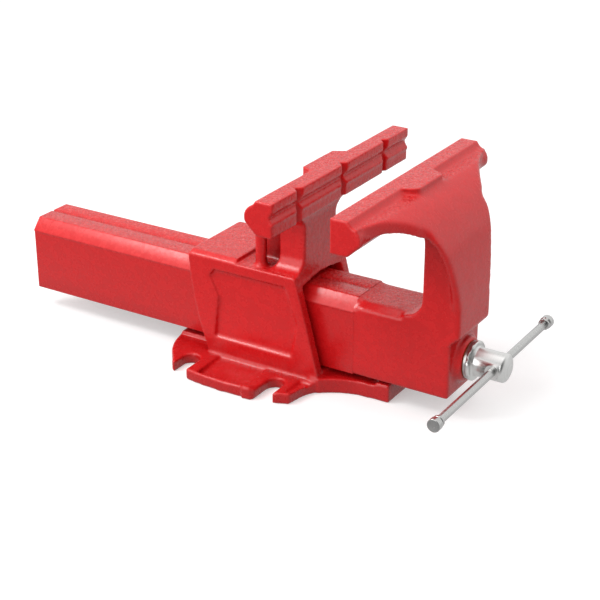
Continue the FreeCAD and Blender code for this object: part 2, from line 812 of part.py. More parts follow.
spring = new_body("take_up_spring")
on_axis(spring, "spring_x")
wire = sketch_on(spring, "XZ")
ring(wire, "0", "spring_r", "spring_wire_r")
coil = spring.newObject("PartDesign::AdditiveHelix", "Coil")
coil.Profile = wire
coil.ReferenceAxis = ([f for f in spring.Origin.OriginFeatures if f.Role == "X_Axis"][0], [""])
coil.Mode = "height-turns-angle"
drive(coil, "Height", "spring_len - 2 * spring_wire_r")
coil.Turns = 4
coil.Reversed = False

# ---------------------------------------------------------------- bar and its end knobs

tommy = turned("tommy_bar", [
    ("0", "bar_near_y + 1.5"),
    ("spigot_r", "bar_near_y + 1.5"),
    ("spigot_r", "bar_near_y + knob_len + seat_gap"),
    ("bar_r", "bar_near_y + knob_len + seat_gap"),
    ("bar_r", "bar_far_y - knob_len - seat_gap"),
    ("spigot_r", "bar_far_y - knob_len - seat_gap"),
    ("spigot_r", "bar_far_y - 1.5"),
    ("0", "bar_far_y - 1.5"),
], "Y_Axis", "bar_x")

for label, tip, inward in (("bar_knob_near", "bar_near_y", "+"), ("bar_knob_far", "bar_far_y", "-")):
    turned(label, [
        ("0", tip),
        ("knob_r - 1.2", tip),
        ("knob_r", f"{tip} {inward} 1.2"),
        ("knob_r", f"{tip} {inward} 5.4"),
        ("knob_r - 1.1", f"{tip} {inward} 5.8"),
        ("knob_r - 1.1", f"{tip} {inward} 6.6"),
        ("knob_r - 0.5", f"{tip} {inward} 7"),
        ("knob_r - 0.5", f"{tip} {inward} (knob_len - 0.6)"),
        ("knob_r - 1.1", f"{tip} {inward} knob_len"),
        ("spigot_r + running_gap", f"{tip} {inward} knob_len"),
        ("spigot_r + running_gap", f"{tip} {inward} 1.3"),
        ("0", f"{tip} {inward} 1.3"),
    ], "Y_Axis", "bar_x")

# ---------------------------------------------------------------- nut and its fasteners

nut = new_body("spindle_nut")
block = sketch_on(nut, "YZ", "nut_mid_x - nut_len / 2")
outline(block, mirrored([
    ("nut_half", "nut_floor_z"),
    ("nut_half", "axis_z", "nut_half + 0.01"),
    ("0.01", "axis_z + nut_half"),
], 0))
pad(nut, block, "nut_len", "One side")
thread = sketch_on(nut, "YZ")
ring(thread, "0", "axis_z", "thread_r + running_gap + 0.02")
pocket(nut, thread)
holes = sketch_on(nut, "XY")
for hand in ("-", "+"):
    ring(holes, f"nut_mid_x {hand} nut_screw_pitch / 2", "0", "nut_screw_r + 0.02")
pocket(nut, holes, "nut_floor_z + nut_thread_len + 1.5", "One side", True)
seats = sketch_on(nut, "XY")
for hand in ("-", "+"):
    ring(seats, "nut_mid_x", f"{hand}dowel_y", "dowel_r + dowel_gap")
pocket(nut, seats, "nut_floor_z + dowel_len / 2 + 0.5", "One side", True)


def group_of_two(label, corners, places):
    """Two equal turned pieces about upright axes, as one group of separate solids."""
    group = doc.addObject("Part::Compound", label)
    group.Label = label
    links = []
    for x, y in places:
        body = new_body(label + "_piece")
        drive(body, "Placement.Base.x", x)
        drive(body, "Placement.Base.y", y)
        outline(sketch_on(body, "XZ"), corners)
        revolve(body, body.Group[-1], "Z_Axis")
        links.append(body)
    group.Links = links
    return group


screw_places = [(f"nut_mid_x {hand} nut_screw_pitch / 2", "0") for hand in ("-", "+")]
nut_screws = group_of_two("nut_screws", [
    ("0", "head_z - nut_head_h + 5"),
    ("nut_screw_r - 1", "head_z - nut_head_h + 5"),
    ("nut_screw_r - 1", "head_z - nut_head_h"),
    ("nut_head_r - 0.6", "head_z - nut_head_h"),
    ("nut_head_r", "head_z - nut_head_h + 0.6"),
    ("nut_head_r", "head_z"),
    ("nut_screw_r", "head_z"),
    ("nut_screw_r", "nut_floor_z + nut_thread_len - 1"),
    ("nut_screw_r - 1", "nut_floor_z + nut_thread_len"),
    ("0", "nut_floor_z + nut_thread_len"),
], screw_places)
nut_washers = group_of_two("nut_washers", [
    ("nut_screw_r + 0.15", "head_z + seat_gap / 2"),
    ("nut_head_r", "head_z + seat_gap / 2"),
    ("nut_head_r", "nut_sink - seat_gap / 2"),
    ("nut_screw_r + 0.15", "nut_sink - seat_gap / 2"),
], screw_places)
nut_dowels = group_of_two("nut_dowels", [
    ("0", "nut_floor_z - dowel_len / 2"),
    ("dowel_r - 0.5", "nut_floor_z - dowel_len / 2"),
    ("dowel_r", "nut_floor_z - dowel_len / 2 + 0.5"),
    ("dowel_r", "nut_floor_z + dowel_len / 2 - 0.5"),
    ("dowel_r - 0.5", "nut_floor_z + dowel_len / 2"),
    ("0", "nut_floor_z + dowel_len / 2"),
], [("nut_mid_x", "-dowel_y"), ("nut_mid_x", "dowel_y")])

# ---------------------------------------------------------------- recompute, check, write

doc.recompute()
NODES = [
    "body", "sliding_jaw", "front_bush", "thrust_washer", "spindle", "collar", "collar_pin",
    "spring_washer", "take_up_spring", "tommy_bar", "bar_knob_near", "bar_knob_far",
    "spindle_nut", "nut_screws", "nut_washers", "nut_dowels",
]
for obj in doc.Objects:
    if "Invalid" in obj.State or "Error" in obj.State:
        raise RuntimeError(f"{obj.Label} did not recompute")
os.makedirs("parts", exist_ok=True)
for node in NODES:
    shape = doc.getObjectsByLabel(node)[0].Shape
    if shape.isNull() or not shape.isValid():
        raise RuntimeError(f"{node} has no valid shape")
    shape.exportStep(f"parts/{node}.step")
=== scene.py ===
import json
import math

import bmesh
import bpy
from bpy.props import FloatProperty, FloatVectorProperty, IntProperty, PointerProperty
from mathutils import Matrix, Vector, noise


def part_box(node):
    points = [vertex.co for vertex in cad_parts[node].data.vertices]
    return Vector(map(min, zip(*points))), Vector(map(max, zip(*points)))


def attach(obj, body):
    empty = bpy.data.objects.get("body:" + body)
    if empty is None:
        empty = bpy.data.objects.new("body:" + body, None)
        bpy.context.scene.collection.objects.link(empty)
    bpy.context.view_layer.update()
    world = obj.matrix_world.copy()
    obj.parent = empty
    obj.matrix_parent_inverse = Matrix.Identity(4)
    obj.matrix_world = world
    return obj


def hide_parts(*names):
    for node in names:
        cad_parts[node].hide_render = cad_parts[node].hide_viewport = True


bl_info = {
    "name": "Bench Vise",
    "version": (1, 0, 0),
    "blender": (4, 5, 0),
    "location": "View3D > Sidebar > Vise",
    "description": "Dresses the bench vise: enamelled castings, bright screw and bar, and a studio",
    "category": "Object",
}

# The frame: metres, +X along the beam towards the hub, +Y along the jaws, +Z up.
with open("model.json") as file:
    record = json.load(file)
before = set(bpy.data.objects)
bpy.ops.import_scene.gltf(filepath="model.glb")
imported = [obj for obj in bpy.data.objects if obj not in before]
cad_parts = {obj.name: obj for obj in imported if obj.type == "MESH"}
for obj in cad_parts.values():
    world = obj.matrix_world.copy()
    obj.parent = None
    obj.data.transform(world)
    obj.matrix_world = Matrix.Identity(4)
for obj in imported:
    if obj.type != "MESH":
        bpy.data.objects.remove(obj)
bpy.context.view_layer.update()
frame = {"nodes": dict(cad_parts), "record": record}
NODES = frame["nodes"]
MM = 0.001
TINY = 0.01 * MM  # places closer than this are one place
MERGE = 0.0001 * MM  # doubled vertices of one corner
X_AXIS = Vector((1, 0, 0))
Y_AXIS = Vector((0, 1, 0))
Z_AXIS = Vector((0, 0, 1))


def middle(node):
    low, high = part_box(node)
    return (low + high) / 2


SCREW_Z = middle("spindle").z
BAR_CENTRE = Vector((middle("tommy_bar").x, 0, SCREW_Z))
JAW_TOP_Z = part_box("body")[1].z
JAW_BOTTOM_Z = JAW_TOP_Z - 26.5 * MM  # the jaws' underside
JAW_END_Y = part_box("body")[1].y
MOVING_FACE_X = 113.5 * MM  # gripping face of the sliding jaw
PLANED_END_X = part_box("sliding_jaw")[0].x + 311.5 * MM  # the beam is planed up to here
THREAD_END_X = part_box("collar")[0].x - 12.5 * MM  # the thread runs from the rear up to here


# ------------------------------------------------------------------ settings

class CastingSettings(bpy.types.PropertyGroup):
    enamel: FloatVectorProperty(
        name="Enamel", description="Colour of the gloss enamel", subtype="COLOR", size=3,
        min=0, max=1, default=(0.64, 0.007, 0.009))
    voxel: FloatProperty(
        name="Skin size", description="Size of the facets of a casting's skin before it is thinned",
        subtype="DISTANCE", unit="LENGTH", min=0.0005, default=0.85 * MM)
    rounding: IntProperty(
        name="Rounding", description="Smoothing passes on the body's plain edges", min=0, default=8)
    jaw_rounding: IntProperty(
        name="Jaw rounding", description="Smoothing passes on the crisper jaws", min=0, default=3)
    column_rounding: IntProperty(
        name="Column rounding", description="Smoothing passes on the jaw's softer column",
        min=0, default=22)
    ripple: FloatProperty(
        name="Ripple", description="Height of the shallow waves of the cast skin",
        subtype="DISTANCE", unit="LENGTH", min=0, default=0.10 * MM)
    beam_groove: FloatProperty(
        name="Beam groove", description="Depth of the shallow groove along the top of the beam",
        subtype="DISTANCE", unit="LENGTH", min=0, default=1.2 * MM)
    beam_bevel: FloatProperty(
        name="Beam bevel", description="Width of the planed beam's broken edges",
        subtype="DISTANCE", unit="LENGTH", min=0, default=1.1 * MM)
    triangles: IntProperty(
        name="Triangles", description="Most triangles that a casting keeps",
        min=1000, default=190000)


class ScrewSettings(bpy.types.PropertyGroup):
    lead: FloatProperty(
        name="Lead", description="Advance of the screw's thread in one turn",
        subtype="DISTANCE", unit="LENGTH", default=4 * MM)
    thread_depth: FloatProperty(
        name="Thread depth", description="Depth of the trapezoidal thread",
        subtype="DISTANCE", unit="LENGTH", default=2.1 * MM)
    socket: FloatProperty(
        name="Socket", description="Width across flats of the sockets in the nut's screws",
        subtype="DISTANCE", unit="LENGTH", default=8 * MM)
    zinc: FloatVectorProperty(
        name="Zinc", description="Colour of the bright zinc plating", subtype="COLOR", size=3,
        min=0, max=1, default=(0.62, 0.62, 0.61))
    steel: FloatVectorProperty(
        name="Steel", description="Colour of the turned steel", subtype="COLOR", size=3,
        min=0, max=1, default=(0.50, 0.49, 0.48))
    bronze: FloatVectorProperty(
        name="Bronze", description="Colour of the bearing bronze", subtype="COLOR", size=3,
        min=0, max=1, default=(0.58, 0.36, 0.16))
    iron: FloatVectorProperty(
        name="Nut iron", description="Colour of the nut's machined iron", subtype="COLOR", size=3,
        min=0, max=1, default=(0.16, 0.155, 0.15))


class StudioSettings(bpy.types.PropertyGroup):
    eye: FloatVectorProperty(
        name="Eye", description="Place of the camera", subtype="TRANSLATION", unit="LENGTH", size=3,
        default=(0.5858, -0.9003, 0.5399))
    look_at: FloatVectorProperty(
        name="Look at", description="Point that the camera looks at", subtype="TRANSLATION",
        unit="LENGTH", size=3, default=(0.0285, 0.0, 0.0544))
    focal_length: FloatProperty(
        name="Focal length", description="Focal length in millimetres", min=1, default=89.24)
    sky: FloatProperty(
        name="Sky", description="Strength of the even light from all sides", min=0, default=0.82)
    overhead: FloatProperty(
        name="Overhead lamp", description="Power of the large lamp overhead", unit="POWER",
        default=3.8)
    front: FloatProperty(
        name="Front lamp", description="Power of the large low lamp in front", unit="POWER",
        default=9.2)
    key: FloatProperty(
        name="Key lamp", description="Power of the small soft lamp above the left", unit="POWER",
        default=6.5)
    floor_glow: FloatProperty(
        name="Floor glow", description="How much of the floor's white is its own",
        min=0, max=1, default=0.35)


SETTINGS = {
    "vise_casting": CastingSettings,
    "vise_screw": ScrewSettings,
    "vise_studio": StudioSettings,
}


# ------------------------------------------------------------------ shader nodes

# Sockets of a Mix node, which shares its socket names between its kinds.
FLOAT_A, FLOAT_B = 2, 3
COLOUR_A, COLOUR_B, MIXED_COLOUR = 6, 7, 2


def group_of(name, inputs, outputs):
    """An empty shader group with float inputs (name, default) and outputs (name, socket type)."""
    tree = bpy.data.node_groups.new(name, "ShaderNodeTree")
    for label, value in inputs:
        socket = tree.interface.new_socket(label, in_out="INPUT", socket_type="NodeSocketFloat")
        socket.default_value = value
    for label, kind in outputs:
        tree.interface.new_socket(label, in_out="OUTPUT", socket_type=kind)
    return tree, tree.nodes.new("NodeGroupInput"), tree.nodes.new("NodeGroupOutput")


def add(tree, kind, values=(), **attributes):
    node = tree.nodes.new("ShaderNode" + kind)
    for key, value in attributes.items():
        setattr(node, key, value)
    for key, value in dict(values).items():
        node.inputs[key].default_value = value
    return node


def link(tree, source, output, target, entry):
    tree.links.new(source.outputs[output], target.inputs[entry])


def maths(tree, operation, first, second=None):
    """A Math node fed by (node, output) pairs or plain numbers."""
    node = add(tree, "Math", operation=operation)
    for index, term in enumerate((first, second)):
        if isinstance(term, tuple):
            tree.links.new(term[0].outputs[term[1]], node.inputs[index])
        elif term is not None:
            node.inputs[index].default_value = term
    return node


def spread(tree, source, output, low, high, to_low=0.0, to_high=1.0):
    """Maps low..high of an output to to_low..to_high, held at both ends."""
    node = add(tree, "MapRange", {1: low, 2: high, 3: to_low, 4: to_high}, clamp=True)
    link(tree, source, output, node, 0)
    return node


def cast_grain():
    """Sand-cast skin under paint: Height, slow Lumps and dark Specks, and Glints, where light
    specks are painted in as highlights.
    """
    tree, entry, leave = group_of(
        "Cast grain", [("Grain", 560.0), ("Lump", 190.0)],
        [("Height", "NodeSocketFloat"), ("Lumps", "NodeSocketFloat"),
         ("Specks", "NodeSocketFloat"), ("Glints", "NodeSocketFloat")])
    place = add(tree, "TexCoord")
    fine = add(tree, "TexNoise", {"Detail": 2.0, "Roughness": 0.7})
    lumps = add(tree, "TexNoise", {"Detail": 2.0, "Roughness": 0.5})
    for texture, size in ((fine, "Grain"), (lumps, "Lump")):
        link(tree, place, "Object", texture, "Vector")
        link(tree, entry, size, texture, "Scale")
    link(tree, maths(tree, "ADD", (fine, 0), (lumps, 0)), 0, leave, "Height")
    link(tree, spread(tree, lumps, 0, 0.35, 0.65), 0, leave, "Lumps")
    link(tree, spread(tree, fine, 0, 0.52, 0.66), 0, leave, "Specks")
    # Glints: where light specks are painted in as highlights, standing in for the lamps' sparkle on
    # the grain
    link(tree, spread(tree, fine, 0, 0.46, 0.34), 0, leave, "Glints")
    return tree


def painted_edge_highlight():
    """Mask of the outer edges of a dense mesh, where a painted highlight lightens the enamel."""
    tree, entry, leave = group_of(
        "Painted edge highlight", [("Reach", 0.08), ("Break up", 90.0)], [("Mask", "NodeSocketFloat")])
    shape = add(tree, "NewGeometry")
    place = add(tree, "TexCoord")
    patches = add(tree, "TexNoise", {"Detail": 4.0})
    link(tree, place, "Object", patches, "Vector")
    link(tree, entry, "Break up", patches, "Scale")
    rise = maths(tree, "SUBTRACT", (shape, "Pointiness"), 0.5)
    outer = maths(tree, "DIVIDE", (rise, 0), (entry, "Reach"))
    broken = maths(tree, "MULTIPLY", (outer, 0), (spread(tree, patches, 0, 0.3, 0.7, 0.5, 1.0), 0))
    link(tree, spread(tree, broken, 0, 0.1, 1.0), 0, leave, "Mask")
    return tree


def rough_and_glint_faces():
    """Mask of the faces left rough from the sand, which also get the painted highlight specks:
    level tops above Foot, and +X faces by Front.
    """
    tree, entry, leave = group_of(
        "Rough and glint faces", [("Foot", 0.02), ("Front", 0.0)], [("Mask", "NodeSocketFloat")])
    shape = add(tree, "NewGeometry")
    facing = add(tree, "SeparateXYZ")
    link(tree, shape, "Normal", facing, 0)
    place = add(tree, "TexCoord")
    height = add(tree, "SeparateXYZ")
    link(tree, place, "Object", height, 0)
    above = maths(tree, "GREATER_THAN", (height, "Z"), (entry, "Foot"))
    upward = maths(tree, "MULTIPLY", (spread(tree, facing, "Z", 0.90, 0.99), 0), (above, 0))
    forward = maths(tree, "MULTIPLY", (spread(tree, facing, "X", 0.8, 0.98), 0), (entry, "Front"))
    link(tree, maths(tree, "MAXIMUM", (upward, 0), (forward, 0)), 0, leave, "Mask")
    return tree


def painted_crevice_shade():
    """Mask of painted shade: darkest close to another wall, and darker towards the foot."""
    tree, entry, leave = group_of(
        "Painted crevice shade", [("Reach", 0.020), ("Break up", 60.0)], [("Mask", "NodeSocketFloat")])
    open_sky = add(tree, "AmbientOcclusion", samples=6, only_local=True)
    link(tree, entry, "Reach", open_sky, "Distance")
    place = add(tree, "TexCoord")
    patches = add(tree, "TexNoise", {"Detail": 4.0, "Roughness": 0.6})
    link(tree, place, "Object", patches, "Vector")
    link(tree, entry, "Break up", patches, "Scale")
    shut = spread(tree, open_sky, "AO", 0.80, 0.30)
    broken = spread(tree, patches, 0, 0.3, 0.7, 0.75, 1.0)
    narrow = maths(tree, "MULTIPLY", (shut, 0), (broken, 0))
    height = add(tree, "SeparateXYZ")
    link(tree, place, "Object", height, 0)
    # painted shade: up to a quarter of the darkening towards the foot
    foot = spread(tree, height, "Z", 0.030, 0.012, 0.0, 0.25)
    link(tree, maths(tree, "MAXIMUM", (narrow, 0), (foot, 0)), 0, leave, "Mask")
    return tree


def tool_marks():
    """Height and Streaks of fine marks, drawn out along the axes whose value X, Y or Z is small."""
    tree, entry, leave = group_of(
        "Tool marks", [("Density", 2600.0), ("X", 1.0), ("Y", 0.04), ("Z", 0.04)],
        [("Height", "NodeSocketFloat"), ("Streaks", "NodeSocketFloat")])
    place = add(tree, "TexCoord")
    pitch = add(tree, "CombineXYZ")
    for axis in "XYZ":
        link(tree, entry, axis, pitch, axis)
    squeeze = add(tree, "VectorMath", operation="MULTIPLY")
    link(tree, place, "Object", squeeze, 0)
    link(tree, pitch, 0, squeeze, 1)
    marks = add(tree, "TexNoise", {"Detail": 3.0, "Roughness": 0.6})
    link(tree, squeeze, 0, marks, "Vector")
    link(tree, entry, "Density", marks, "Scale")
    link(tree, marks, 0, leave, "Height")
    link(tree, spread(tree, marks, 0, 0.3, 0.7), 0, leave, "Streaks")
    return tree


def use(tree, maker, name, **values):
    """A shared node group in a material, made by its maker when it is first used."""
    node = tree.nodes.new("ShaderNodeGroup")
    node.node_tree = bpy.data.node_groups.get(name) or maker()
    for key, value in values.items():
        node.inputs[key.replace("_", " ")].default_value = value
    return node


def new_material(name, **sockets):
    made = bpy.data.materials.new(name)
    made.use_nodes = True
    surface = made.node_tree.nodes["Principled BSDF"]
    for key, value in sockets.items():
        surface.inputs[key.replace("_", " ")].default_value = value
    return made, made.node_tree, surface


def bumped(tree, surface, source, output, distance):
    bump = add(tree, "Bump", {"Distance": distance, "Strength": 1.0})
    link(tree, source, output, bump, "Height")
    link(tree, bump, 0, surface, "Normal")


def tinted(tree, source, output, low, high):
    """A colour that goes from low, a tinted node or a plain colour, to high with a mask."""
    node = add(tree, "Mix", data_type="RGBA")
    link(tree, source, output, node, "Factor")
    if isinstance(low, bpy.types.Node):
        link(tree, low, MIXED_COLOUR, node, COLOUR_A)
    else:
        node.inputs[COLOUR_A].default_value = (*low, 1.0)
    node.inputs[COLOUR_B].default_value = (*high, 1.0)
    return node


def shade(colour, factor):
    return tuple(min(1.0, channel * factor) for channel in colour)


def enamel_material(name, colour, front=0.0, streak=(0.04, 1.0, 1.0), lit_edges=True):
    """Gloss enamel on a casting: smooth sides, grainy tops with painted highlight specks, painted
    shade in corners and towards the foot, painted highlights at edges.

    front is how grainy the +X faces are, and streak how each axis draws out the marks."""
    # painted highlight: light red specks for the lamps' sparkle on the grainy tops and +X faces
    painted_glint = (0.74, 0.07, 0.065)
    # painted highlight: lighter red along the outer edges
    edge_highlight_colour = (0.72, 0.035, 0.035)
    made, tree, surface = new_material(name, IOR=1.5, Specular_IOR_Level=0.5)
    skin = use(tree, cast_grain, "Cast grain")
    rough = use(tree, rough_and_glint_faces, "Rough and glint faces", Front=front)
    marks = use(tree, tool_marks, "Tool marks", Density=620.0, **dict(zip("XYZ", streak)))
    painted_shade = use(tree, painted_crevice_shade, "Painted crevice shade")
    tone = tinted(tree, skin, "Lumps", shade(colour, 0.96), shade(colour, 1.04))
    streaks = maths(tree, "MULTIPLY", (marks, "Streaks"), 0.4)
    specks = maths(tree, "MAXIMUM", (streaks, 0), (skin, "Specks"))
    dark = maths(tree, "MULTIPLY", (specks, 0), (rough, "Mask"))
    tone = tinted(tree, dark, 0, tone, shade(colour, 0.72))
    # painted highlights: light specks where the grain is rough
    bright = maths(tree, "MULTIPLY", (skin, "Glints"), (rough, "Mask"))
    tone = tinted(tree, bright, 0, tone, painted_glint)
    # painted shade: corners and the foot darkened towards 0.30 of the enamel
    tone = tinted(tree, painted_shade, "Mask", tone, shade(colour, 0.30))
    # painted highlight along the outer edges, left off the planed beam
    if lit_edges:
        edge_highlight = use(tree, painted_edge_highlight, "Painted edge highlight")
        tone = tinted(tree, edge_highlight, "Mask", tone, edge_highlight_colour)
    link(tree, tone, MIXED_COLOUR, surface, "Base Color")
    link(tree, spread(tree, skin, "Lumps", 0.0, 1.0, 0.24, 0.30), 0, surface, "Roughness")
    half_marks = maths(tree, "MULTIPLY", (marks, "Height"), 0.5)
    relief = maths(tree, "ADD", (skin, "Height"), (half_marks, 0))
    share = spread(tree, rough, "Mask", 0.0, 1.0, 0.02, 0.9)
    bumped(tree, surface, maths(tree, "MULTIPLY", (relief, 0), (share, 0)), 0, 0.8 * MM)
    return made


def metal_material(name, colour, roughness, along="X", density=2600.0, depth=0.006 * MM):
    """Turned metal, with fine rings round the axis it was turned about."""
    made, tree, surface = new_material(name, Metallic=1.0)
    squeeze = {axis: 1.0 if axis == along else 0.04 for axis in "XYZ"}
    marks = use(tree, tool_marks, "Tool marks", Density=density, **squeeze)
    tone = tinted(tree, marks, "Streaks", shade(colour, 0.93), shade(colour, 1.05))
    link(tree, tone, MIXED_COLOUR, surface, "Base Color")
    rough = spread(tree, marks, "Height", 0.2, 0.8, roughness - 0.04, roughness + 0.06)
    link(tree, rough, 0, surface, "Roughness")
    bumped(tree, surface, marks, "Height", depth)
    return made


def material(name):
    """The finish of that name, made when it is first asked for."""
    found = bpy.data.materials.get(name)
    if found:
        return found
    scene = bpy.context.scene
    casting, screw = scene.vise_casting, scene.vise_screw
    if name == "Red enamel":
        return enamel_material(name, tuple(casting.enamel))
    if name == "Body enamel":
        return enamel_material(name, tuple(casting.enamel), front=0.35, streak=(1.0, 1.0, 0.3))
    if name == "Planed enamel":
        return enamel_material(name, tuple(casting.enamel), lit_edges=False)
    # painted light and shade: the hub's zinc is lighter and the bar's darker than the one plating,
    # for the brighter and darker reflections each shows
    if name == "Bright zinc":
        return metal_material(name, shade(screw.zinc, 1.15), roughness=0.30)
    if name == "Bright zinc bar":
        return metal_material(name, shade(screw.zinc, 0.88), roughness=0.24,
                              along="Y", density=3600.0, depth=0.002 * MM)
    if name == "Turned steel":
        return metal_material(name, tuple(screw.steel), roughness=0.32)
    if name == "Dark screws":
        blackened = (0.10, 0.10, 0.105)
        return metal_material(name, blackened, roughness=0.36, along="Z")
    if name == "Bearing bronze":
        return metal_material(name, tuple(screw.bronze), roughness=0.30)
    return metal_material("Machined iron", tuple(screw.iron), roughness=0.45)


SLOTS = {
    "red_enamel": "Red enamel",
    "bright_zinc": "Bright zinc",
    "tool_steel": "Turned steel",
    "bronze": "Bearing bronze",
    "nut_iron": "Machined iron",
}


# ------------------------------------------------------------------ modelling

def new_piece(name, bm, nodes, body, slot, finish=None):
    """Makes a piece of a bmesh, with its finish, its ride and the CAD nodes that it stands for."""
    mesh = bpy.data.meshes.new(name)
    bm.to_mesh(mesh)
    bm.free()
    mesh.polygons.foreach_set("use_smooth", [True] * len(mesh.polygons))
    mesh.set_sharp_from_angle(angle=math.radians(30))
    piece = bpy.data.objects.new(name, mesh)
    bpy.context.scene.collection.objects.link(piece)
    mesh.materials.append(material(finish or SLOTS[slot]))
    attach(piece, body)
    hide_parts(*nodes)
    return piece


def applied(piece):
    """Turns the piece's modifiers into its mesh."""
    bpy.context.view_layer.update()
    evaluated = piece.evaluated_get(bpy.context.evaluated_depsgraph_get())
    baked = bpy.data.meshes.new_from_object(evaluated)
    piece.modifiers.clear()
    old = piece.data
    piece.data = baked
    bpy.data.meshes.remove(old)


def merged_copy(node):
    """A copy of a CAD node's mesh in one skin, its flat faces made whole."""
    bm = bmesh.new()
    bm.from_mesh(NODES[node].data)
    bmesh.ops.remove_doubles(bm, verts=bm.verts, dist=MERGE)
    bmesh.ops.dissolve_limit(bm, verts=bm.verts, edges=bm.edges, angle_limit=math.radians(0.5))
    return bm


def cut(bm, x, keep_front):
    """Cuts a mesh square to the X axis, keeps one end and closes it."""
    geom = [*bm.verts, *bm.edges, *bm.faces]
    result = bmesh.ops.bisect_plane(bm, geom=geom, plane_co=(x, 0, 0), plane_no=(1, 0, 0),
                                    clear_inner=keep_front, clear_outer=not keep_front)
    rim = [item for item in result["geom_cut"] if isinstance(item, bmesh.types.BMEdge)]
    bmesh.ops.holes_fill(bm, edges=rim, sides=0)
    bmesh.ops.recalc_face_normals(bm, faces=bm.faces)


def spun(points, axis, centre, steps=64, bevel=0.0, segments=3):
    """Spins (along, radius) points a full turn about an axis, and rounds the rings."""
    bm = bmesh.new()
    side = X_AXIS if axis == Z_AXIS else Z_AXIS
    chain = [bm.verts.new(centre + axis * along + side * radius) for along, radius in points]
    edges = [bm.edges.new(pair) for pair in zip(chain, chain[1:])]
    bmesh.ops.spin(bm, geom=chain + edges, cent=centre, axis=axis, dvec=(0, 0, 0),
                   angle=math.tau, steps=steps, use_merge=True, use_duplicate=False)
    bmesh.ops.remove_doubles(bm, verts=bm.verts, dist=MERGE)
    bmesh.ops.recalc_face_normals(bm, faces=bm.faces)
    if bevel:
        round_edges(bm, bevel, segments)
    return bm


def round_edges(bm, width, segments=3, angle=math.radians(25), keep=()):
    """Rounds the edges that turn by more than angle, apart from those to keep."""
    kept = set(keep)
    sharp = [e for e in bm.edges if e.is_manifold and e not in kept and e.calc_face_angle() > angle]
    bmesh.ops.bevel(bm, geom=sharp, offset=width, offset_type="OFFSET", segments=segments,
                    profile=0.5, affect="EDGES", clamp_overlap=True, material=-1)


def joined(*meshes):
    """One bmesh of several."""
    whole = bmesh.new()
    for bm in meshes:
        part = bpy.data.meshes.new("part")
        bm.to_mesh(part)
        bm.free()
        whole.from_mesh(part)
        bpy.data.meshes.remove(part)
    return whole


# ------------------------------------------------------------------ castings

def body_passes(place, casting):
    """How many smoothing passes a place on the body gets: few on the jaw, more below it."""
    return casting.jaw_rounding if place.z > JAW_BOTTOM_Z - MM else casting.rounding


def jaw_passes(place, casting):
    """How many smoothing passes a place on the sliding jaw gets: few on the jaw, most below."""
    top = place.z > JAW_TOP_Z - 2.5 * MM
    end = place.z > JAW_BOTTOM_Z - MM and abs(place.y) > JAW_END_Y - 6 * MM
    gripping = place.z > JAW_BOTTOM_Z + 3 * MM and place.x < MOVING_FACE_X + 12 * MM
    return casting.jaw_rounding if top or end or gripping else casting.column_rounding


def cast_skin(piece, passes_at):
    """Gives a piece the rounded edges and the uneven skin of a sand casting, as a bmesh."""
    casting = bpy.context.scene.vise_casting
    long_wave, short_wave = 16 * MM, 6 * MM
    inward = 1.2  # keeps the waves under the solid's faces, clear of what slides past
    skin = piece.modifiers.new("Skin", "REMESH")
    skin.mode = "VOXEL"
    skin.voxel_size = casting.voxel
    applied(piece)
    bm = bmesh.new()
    bm.from_mesh(piece.data)
    passes = {v: passes_at(v.co, casting) for v in bm.verts}
    for count in range(max(passes.values())):
        soft = [v for v in bm.verts if passes[v] > count]
        bmesh.ops.smooth_vert(bm, verts=soft, factor=0.5,
                              use_axis_x=True, use_axis_y=True, use_axis_z=True)
    bm.normal_update()
    for v in bm.verts:
        wave = noise.noise(v.co / long_wave) + 0.5 * noise.noise(v.co / short_wave)
        v.co += v.normal * (wave - inward) * casting.ripple
    return bm


def thinned(piece, bm):
    """Puts a skin on its piece, with no more triangles than a casting may have."""
    bm.to_mesh(piece.data)
    bm.free()
    faces = len(piece.data.polygons) * 2
    limit = bpy.context.scene.vise_casting.triangles
    if faces > limit:
        thin = piece.modifiers.new("Thin", "DECIMATE")
        thin.ratio = limit / faces
        applied(piece)
    piece.data.polygons.foreach_set("use_smooth", [True] * len(piece.data.polygons))


class VISE_OT_body_casting(bpy.types.Operator):
    """Dress the fixed body in a cast skin"""
    bl_idname = "vise.body_casting"
    bl_label = "Body casting"

    def execute(self, context):
        piece = new_piece("body_casting", merged_copy("body"), ("body",), "fixed", "red_enamel",
                          finish="Body enamel")
        thinned(piece, cast_skin(piece, body_passes))
        return {"FINISHED"}


